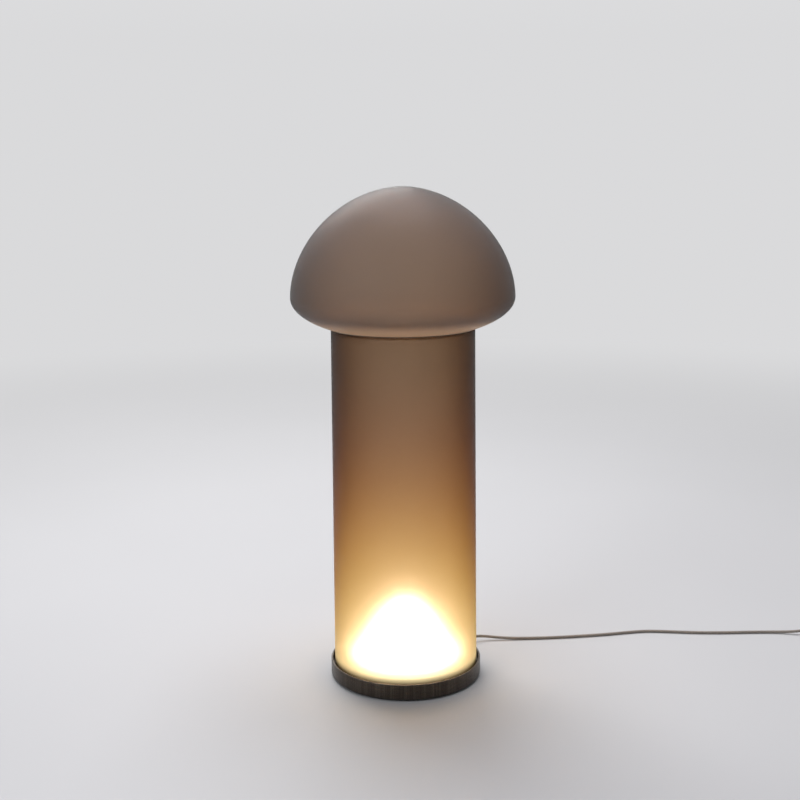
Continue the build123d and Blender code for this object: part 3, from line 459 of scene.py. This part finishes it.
# ---------------------------------------------------------------- surfaces
def skin(name, rows, poles=False):
    """A mesh on a grid of points indexed (row, place in the row), each row a closed ring.

    Each cell of the grid is a quad, in the order (row, place), (row, next place), (next row, next
    place), (next row, place). The last row carries on to the first. With poles it doesn't, and
    the first and the last row are drawn to one point each, with triangles round it.
    """
    rows = np.asarray(rows, float)
    first, last = rows[0, :1], rows[-1, :1]
    grid = rows[1:-1] if poles else rows
    count, around = grid.shape[:2]
    turn = np.arange(around)
    ahead = (turn + 1) % around
    here = np.arange(count - 1 if poles else count)[:, None]
    there = (here + 1) % count * around
    here = here * around
    quads = np.stack([here + turn, here + ahead, there + ahead, there + turn], axis=-1)
    faces = quads.reshape(-1, 4).tolist()
    points = grid.reshape(-1, 3)
    if poles:
        low = np.full(around, len(points))
        top_row = (count - 1) * around
        faces += np.stack([low, ahead, turn], axis=-1).tolist()
        faces += np.stack([top_row + turn, top_row + ahead, low + 1], axis=-1).tolist()
        points = np.vstack([points, first, last])
    mesh = bpy.data.meshes.new(name)
    mesh.from_pydata(points.tolist(), [], faces)
    mesh.shade_smooth()
    piece = bpy.data.objects.new(name, mesh)
    bpy.context.scene.collection.objects.link(piece)
    return piece


def turned(name, profile, poles=False):
    """A profile (radius, height) turned about Z: x = r cos t, y = r sin t, z = height."""
    around = 288
    angle = np.linspace(0, 2 * pi, around, endpoint=False)
    radius, height = np.asarray(profile, float).T
    rows = np.stack(
        [
            radius[:, None] * np.cos(angle),
            radius[:, None] * np.sin(angle),
            np.repeat(height[:, None], around, axis=1),
        ],
        axis=-1,
    )
    return skin(name, rows, poles)


def superellipse(radius, height, power, level, first, last, count):
    """Points (across, up) of a quarter, where the angle a runs from first to last.

    Across is the radius times cos(a)^(2/power), and up is the level plus the height times
    sin(a)^(2/power).
    """
    a = np.linspace(first, last, count)
    across = radius * np.maximum(np.cos(a), 0) ** (2 / power)
    return np.stack([across, level + height * np.sin(a) ** (2 / power)], axis=1)


def line(start, end, count):
    """Evenly spaced points of a straight run, both ends among them."""
    return np.linspace(start, end, count)


def column_glass():
    """The column: a straight wall from seat to cap, with small chamfers at both ends.

    Its profile runs up the outer face at the tube's radius, and down the inner one, a wall's
    thickness in.
    """
    wall_rows, rim_rows = 40, 3
    inner = tube_radius - tube_wall
    outer_low, outer_high = tube_bottom + glass_edge, tube_top - glass_edge
    rim_inner, rim_outer = inner + glass_edge, tube_radius - glass_edge
    profile = np.vstack(
        [
            line((tube_radius, outer_low), (tube_radius, outer_high), wall_rows),
            line((rim_outer, tube_top), (rim_inner, tube_top), rim_rows),
            line((inner, outer_high), (inner, outer_low), wall_rows),
            line((rim_inner, tube_bottom), (rim_outer, tube_bottom), rim_rows),
        ]
    )
    return turned("column_glass", profile)


def cap_glass():
    """The cap: a superellipse dome over an elliptic bowl, a shoulder and a short neck.

    The dome is a quarter superellipse above the equator. The bowl is a quarter ellipse below it,
    cut off at the shoulder. The inner faces are the same curves with the radius and the height
    less by the wall. The neck drops into the column.
    """
    half = pi / 2
    bevel = 0.0008
    dome_rows, bowl_rows = 96, 40
    inner_radius = cap_radius - cap_wall
    neck_bore = neck_radius - cap_wall
    lower = np.arccos(shoulder_radius / cap_radius)
    inner_lower = np.arccos(neck_bore / inner_radius)
    inner_dome, inner_bowl = dome_height - cap_wall, bowl_depth - cap_wall
    inside_dome = superellipse(
        inner_radius, inner_dome, dome_power, equator, half, 0, dome_rows
    )
    inside_bowl = superellipse(
        inner_radius, -inner_bowl, 2, equator, 0, inner_lower, bowl_rows
    )
    neck = np.array(
        [
            (neck_bore, neck_end + bevel),
            (neck_bore + bevel, neck_end),
            (neck_radius - bevel, neck_end),
            (neck_radius, neck_end + bevel),
            (neck_radius, shoulder - bevel / 2),
            (neck_radius + bevel / 2, shoulder),
        ]
    )
    outside_bowl = superellipse(cap_radius, -bowl_depth, 2, equator, lower, 0, bowl_rows)
    outside_dome = superellipse(
        cap_radius, dome_height, dome_power, equator, 0, half, dome_rows
    )
    profile = np.vstack([inside_dome, inside_bowl[1:], neck, outside_bowl[:-1], outside_dome])
    return turned("cap_glass", profile, poles=True)


def tie_strap():
    """A strap closed round one side of the coil.

    Its line is a rounded rectangle in XZ, where the sixth powers of x/a and z/b add up to one. Its
    section is a flat, squarish oval: cos(s)^0.5 times the half thickness across the line, and
    sin(s)^0.35 times the half width along Y.
    """
    low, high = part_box("coil_tie")
    middle = (low + high) / 2
    half = (high - low) / 2
    t = np.linspace(0, 2 * pi, 96, endpoint=False)
    s = np.linspace(0, 2 * pi, 24, endpoint=False)
    half_thickness = 0.0004
    power, power_across, power_wide = 2 / 6, 0.5, 0.35
    c, d = np.cos(t), np.sin(t)
    x = (half.x - half_thickness) * np.sign(c) * np.abs(c) ** power
    z = (half.z - half_thickness) * np.sign(d) * np.abs(d) ** power
    out_x = np.sign(c) * np.abs(c) ** (2 - power) / half.x
    out_z = np.sign(d) * np.abs(d) ** (2 - power) / half.z
    size = np.hypot(out_x, out_z)
    across = half_thickness * np.sign(np.cos(s)) * np.abs(np.cos(s)) ** power_across
    wide = half.y * np.sign(np.sin(s)) * np.abs(np.sin(s)) ** power_wide
    rows = np.stack(
        [
            middle.x + x[:, None] + (out_x / size)[:, None] * across,
            middle.y + 0 * x[:, None] + wide,
            middle.z + z[:, None] + (out_z / size)[:, None] * across,
        ],
        axis=-1,
    )
    return skin("tie_strap", rows)


# ---------------------------------------------------------------- mains cord
LAMP_TO_SWITCH = [
    (0.08775, 0.08775, 0.0082),
    (0.093, 0.093, 0.0082),
    (0.1008, 0.0993, 0.0078),
    (0.1102, 0.1026, 0.0066),
    (0.1215, 0.1042, 0.005),
    (0.136, 0.104, 0.0035),
    (0.153, 0.1039, 0.0025),
    (0.172, 0.1046, 0.0021),
    (0.200, 0.1058, 0.0021),
    (0.229, 0.1084, 0.0021),
    (0.257, 0.1122, 0.0021),
    (0.283, 0.116, 0.0021),
    (0.309, 0.1212, 0.0021),
    (0.335, 0.127, 0.0021),
    (0.354, 0.1286, 0.0021),
    (0.378, 0.1263, 0.0021),
    (0.403, 0.123, 0.0021),
    (0.432, 0.1206, 0.0021),
    (0.465, 0.1202, 0.0021),
    (0.499, 0.1216, 0.0021),
    (0.530, 0.1214, 0.0021),
    (0.554, 0.1182, 0.0032),
    (0.571, 0.1142, 0.0062),
    (0.584, 0.112, 0.009),
    (0.596, 0.112, 0.009),
]
SWITCH_TO_COIL = [
    (0.660, 0.112, 0.009),
    (0.673, 0.112, 0.009),
    (0.689, 0.1128, 0.0074),
    (0.707, 0.1126, 0.0046),
    (0.722, 0.112, 0.0032),
    (0.738, 0.112, 0.0032),
]
COIL_TO_PLUG = [
    (0.738, 0.1652, 0.0188),
    (0.728, 0.1652, 0.0188),
    (0.715, 0.1662, 0.0168),
    (0.701, 0.1684, 0.0126),
    (0.6875, 0.1688, 0.0088),
    (0.676, 0.168, 0.00685),
    (0.664, 0.168, 0.00685),
]


def coil_turns():
    """The spare cord's turns: half turns between ends on the near and the far side by turns.

    Each half turn swings from one end to the other about the point midway, with its reach divided
    by cos(15 degrees) because the smooth line runs inside its points.
    """
    outer, half_pitch, layer_pitch = 0.0266, 0.0026, 0.0052
    layers, steps, strides = 4, 4, 6
    shortfall = cos(pi / (2 * strides))
    centre = Vector((0.742, 0.1386, 0.0032))
    ends = []
    for layer in range(layers):
        for step in range(steps + 1):
            inwards = step if layer % 2 == 0 else steps - step
            side = -1 if len(ends) % 2 == 0 else 1
            reach = side * (outer - half_pitch * inwards)
            ends.append(centre + Vector((0, reach, layer * layer_pitch)))
    points = []
    for number, (here, there) in enumerate(zip(ends, ends[1:])):
        middle, half = (here + there) / 2, (there - here) / 2
        heading = Vector((half.length if number % 2 == 0 else -half.length, 0, 0))
        for stride in range(strides):
            angle = pi * stride / strides
            swing = heading * sin(angle) - half * cos(angle)
            swing = Vector((swing.x / shortfall, swing.y / shortfall, swing.z))
            points.append(middle + swing)
    points.append(ends[-1])
    return [tuple(point) for point in points]


def mains_cord():
    """The cord as one smooth NURBS line through the route's points, with a round section."""
    points = LAMP_TO_SWITCH + SWITCH_TO_COIL + coil_turns() + COIL_TO_PLUG
    curve = bpy.data.curves.new("mains_cord", "CURVE")
    curve.dimensions = "3D"
    run = curve.splines.new("NURBS")
    run.points.add(len(points) - 1)
    run.points.foreach_set("co", np.array([(*p, 1.0) for p in points]).ravel())
    run.order_u = 3
    run.use_endpoint_u = True
    run.resolution_u = 6
    curve.bevel_depth = cord_diameter / 2
    curve.bevel_resolution = 4
    curve.use_fill_caps = True
    cord = bpy.data.objects.new("mains_cord", curve)
    bpy.context.scene.collection.objects.link(cord)
    return cord


# ---------------------------------------------------------------- putting the pieces on
def dress(piece, finish, body, *stands_for, material=None):
    """Gives a new piece its finish, its body and the CAD nodes that it stands for.

    The finish picks its material from the finishes. A material given as well is worn in place of
    the finish's own.
    """
    piece.data.materials.append(material or FINISH[finish])
    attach(piece, body)
    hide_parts(*stands_for)
    return piece


bpy.context.scene.view_settings.view_transform = "Standard"
photograph_camera()

for part in node.values():
    for place in part.material_slots:
        place.material = FINISH[place.material.name.split(".")[0]]

node["dome_retainer"].material_slots[0].material = opal("opal_ring", strength=4.6)
dress(column_glass(), "smoked_glass", "column", "glass_tube")
dress(cap_glass(), "smoked_glass", "cap", "glass_cap", material=cap_satin_painted_glow())
strap = dress(tie_strap(), "tie", "base", "coil_tie")
cord = dress(
    mains_cord(),
    "cord_sheath",
    "base",
    "cord_lamp_side",
    "cord_switch_side",
    "cord_coil",
    "cord_plug_side",
)


# ---------------------------------------------------------------- floor, lights and surroundings
BACKDROP = (0.70, 0.70, 0.71)


def shown_ray(tree):
    """One for a ray that shows the surroundings: the camera's, a reflected one or one in glass.

    It is the largest of the three marks.
    """
    path = add(tree, "ShaderNodeLightPath").outputs
    seen = calc(tree, "MAXIMUM", path["Is Camera Ray"], path["Is Glossy Ray"])
    return calc(tree, "MAXIMUM", seen, path["Is Transmission Ray"])


def floor():
    """A plain pale floor: a square sheet at z = 0 on an even grid.

    Its paint fades with the distance from the lamp into the colour of the backdrop.
    """
    reach, cells = 14.0, 14
    fade_from, fade_to = 0.5, 3.2
    across = np.linspace(-reach, reach, cells + 1)
    x, y = np.meshgrid(across, across)
    points = np.stack([x, y, 0 * x], axis=-1).reshape(-1, 3)
    corner = (np.arange(cells)[:, None] * (cells + 1) + np.arange(cells)).reshape(-1, 1)
    mesh = bpy.data.meshes.new("floor")
    faces = corner + np.array([0, 1, cells + 2, cells + 1])
    mesh.from_pydata(points.tolist(), [], faces.tolist())
    material, tree, shader = blank("floor_paint", Roughness=0.7)
    grain = place_group(tree, GRAIN, Grain_per_metre=700.0, Cloud_per_metre=1.3)
    tone = from_noise(tree, grain["Cloud"])
    paint_colour = blend_colours(tree, tone, (0.47, 0.47, 0.475), (0.49, 0.49, 0.495))
    link(tree, paint_colour, shader["Base Color"])
    place = add(tree, "ShaderNodeTexCoord").outputs["Object"]
    away = add(tree, "ShaderNodeVectorMath", {0: place}, operation="LENGTH").outputs["Value"]
    far = between(tree, away, fade_from, fade_to, smooth=True)
    fade = calc(tree, "MULTIPLY", far, shown_ray(tree))
    paint = next(n for n in tree.nodes if n.type == "BSDF_PRINCIPLED").outputs[0]
    feeds = {"Color": (*BACKDROP, 1.0), "Strength": 1.0}
    field = add(tree, "ShaderNodeEmission", feeds).outputs[0]
    both = add(tree, "ShaderNodeMixShader", {0: fade, 1: paint, 2: field}).outputs[0]
    link(tree, both, next(n for n in tree.nodes if n.type == "OUTPUT_MATERIAL").inputs["Surface"])
    mesh.materials.append(material)
    piece = bpy.data.objects.new("floor", mesh)
    bpy.context.scene.collection.objects.link(piece)


def soft_box(name, place, target, width, height, power, colour):
    """A rectangular soft light at a place, turned to face a target."""
    lamp = bpy.data.lights.new(name, "AREA")
    lamp.shape = "RECTANGLE"
    lamp.size = width
    lamp.size_y = height
    lamp.energy = power
    lamp.color = colour
    box = bpy.data.objects.new(name, lamp)
    aim = (Vector(target) - Vector(place)).to_track_quat("-Z", "Y")
    box.matrix_world = Matrix.Translation(place) @ aim.to_matrix().to_4x4()
    bpy.context.scene.collection.objects.link(box)


def surroundings():
    """A pale studio: a bright field for camera, gloss and glass, and a dimmer one that lights.

    The bright one is a blend of two colours by how far up the ray points.
    """
    paler_from, palest_from = 0.1, 0.6
    world = bpy.data.worlds.new("studio")
    bpy.context.scene.world = world
    world.use_nodes = True
    tree = world.node_tree
    field = next(n for n in tree.nodes if n.type == "BACKGROUND")
    way = add(tree, "ShaderNodeTexCoord").outputs["Generated"]
    up = add(tree, "ShaderNodeSeparateXYZ", {0: way}).outputs["Z"]
    high = between(tree, up, paler_from, palest_from)
    seen = blend_colours(tree, high, BACKDROP, (0.88, 0.88, 0.90))
    lighting = (0.25, 0.253, 0.263)
    both = blend_colours(tree, shown_ray(tree), lighting, seen)
    link(tree, both, field.inputs["Color"])
    field.inputs["Strength"].default_value = 1.0


floor()
surroundings()
soft_box("key", (-0.7, 1.9, 2.2), (0, 0, 0.5), 1.8, 1.4, 42.0, (1.0, 0.99, 0.98))
soft_box("sky", (0.0, 0.55, 2.6), (0, 0, 0.5), 1.5, 1.5, 54.0, (0.97, 0.96, 1.0))
soft_box("fill", (-1.5, -1.6, 1.5), (0, 0, 0.3), 1.2, 1.2, 16.0, (0.90, 0.94, 1.0))
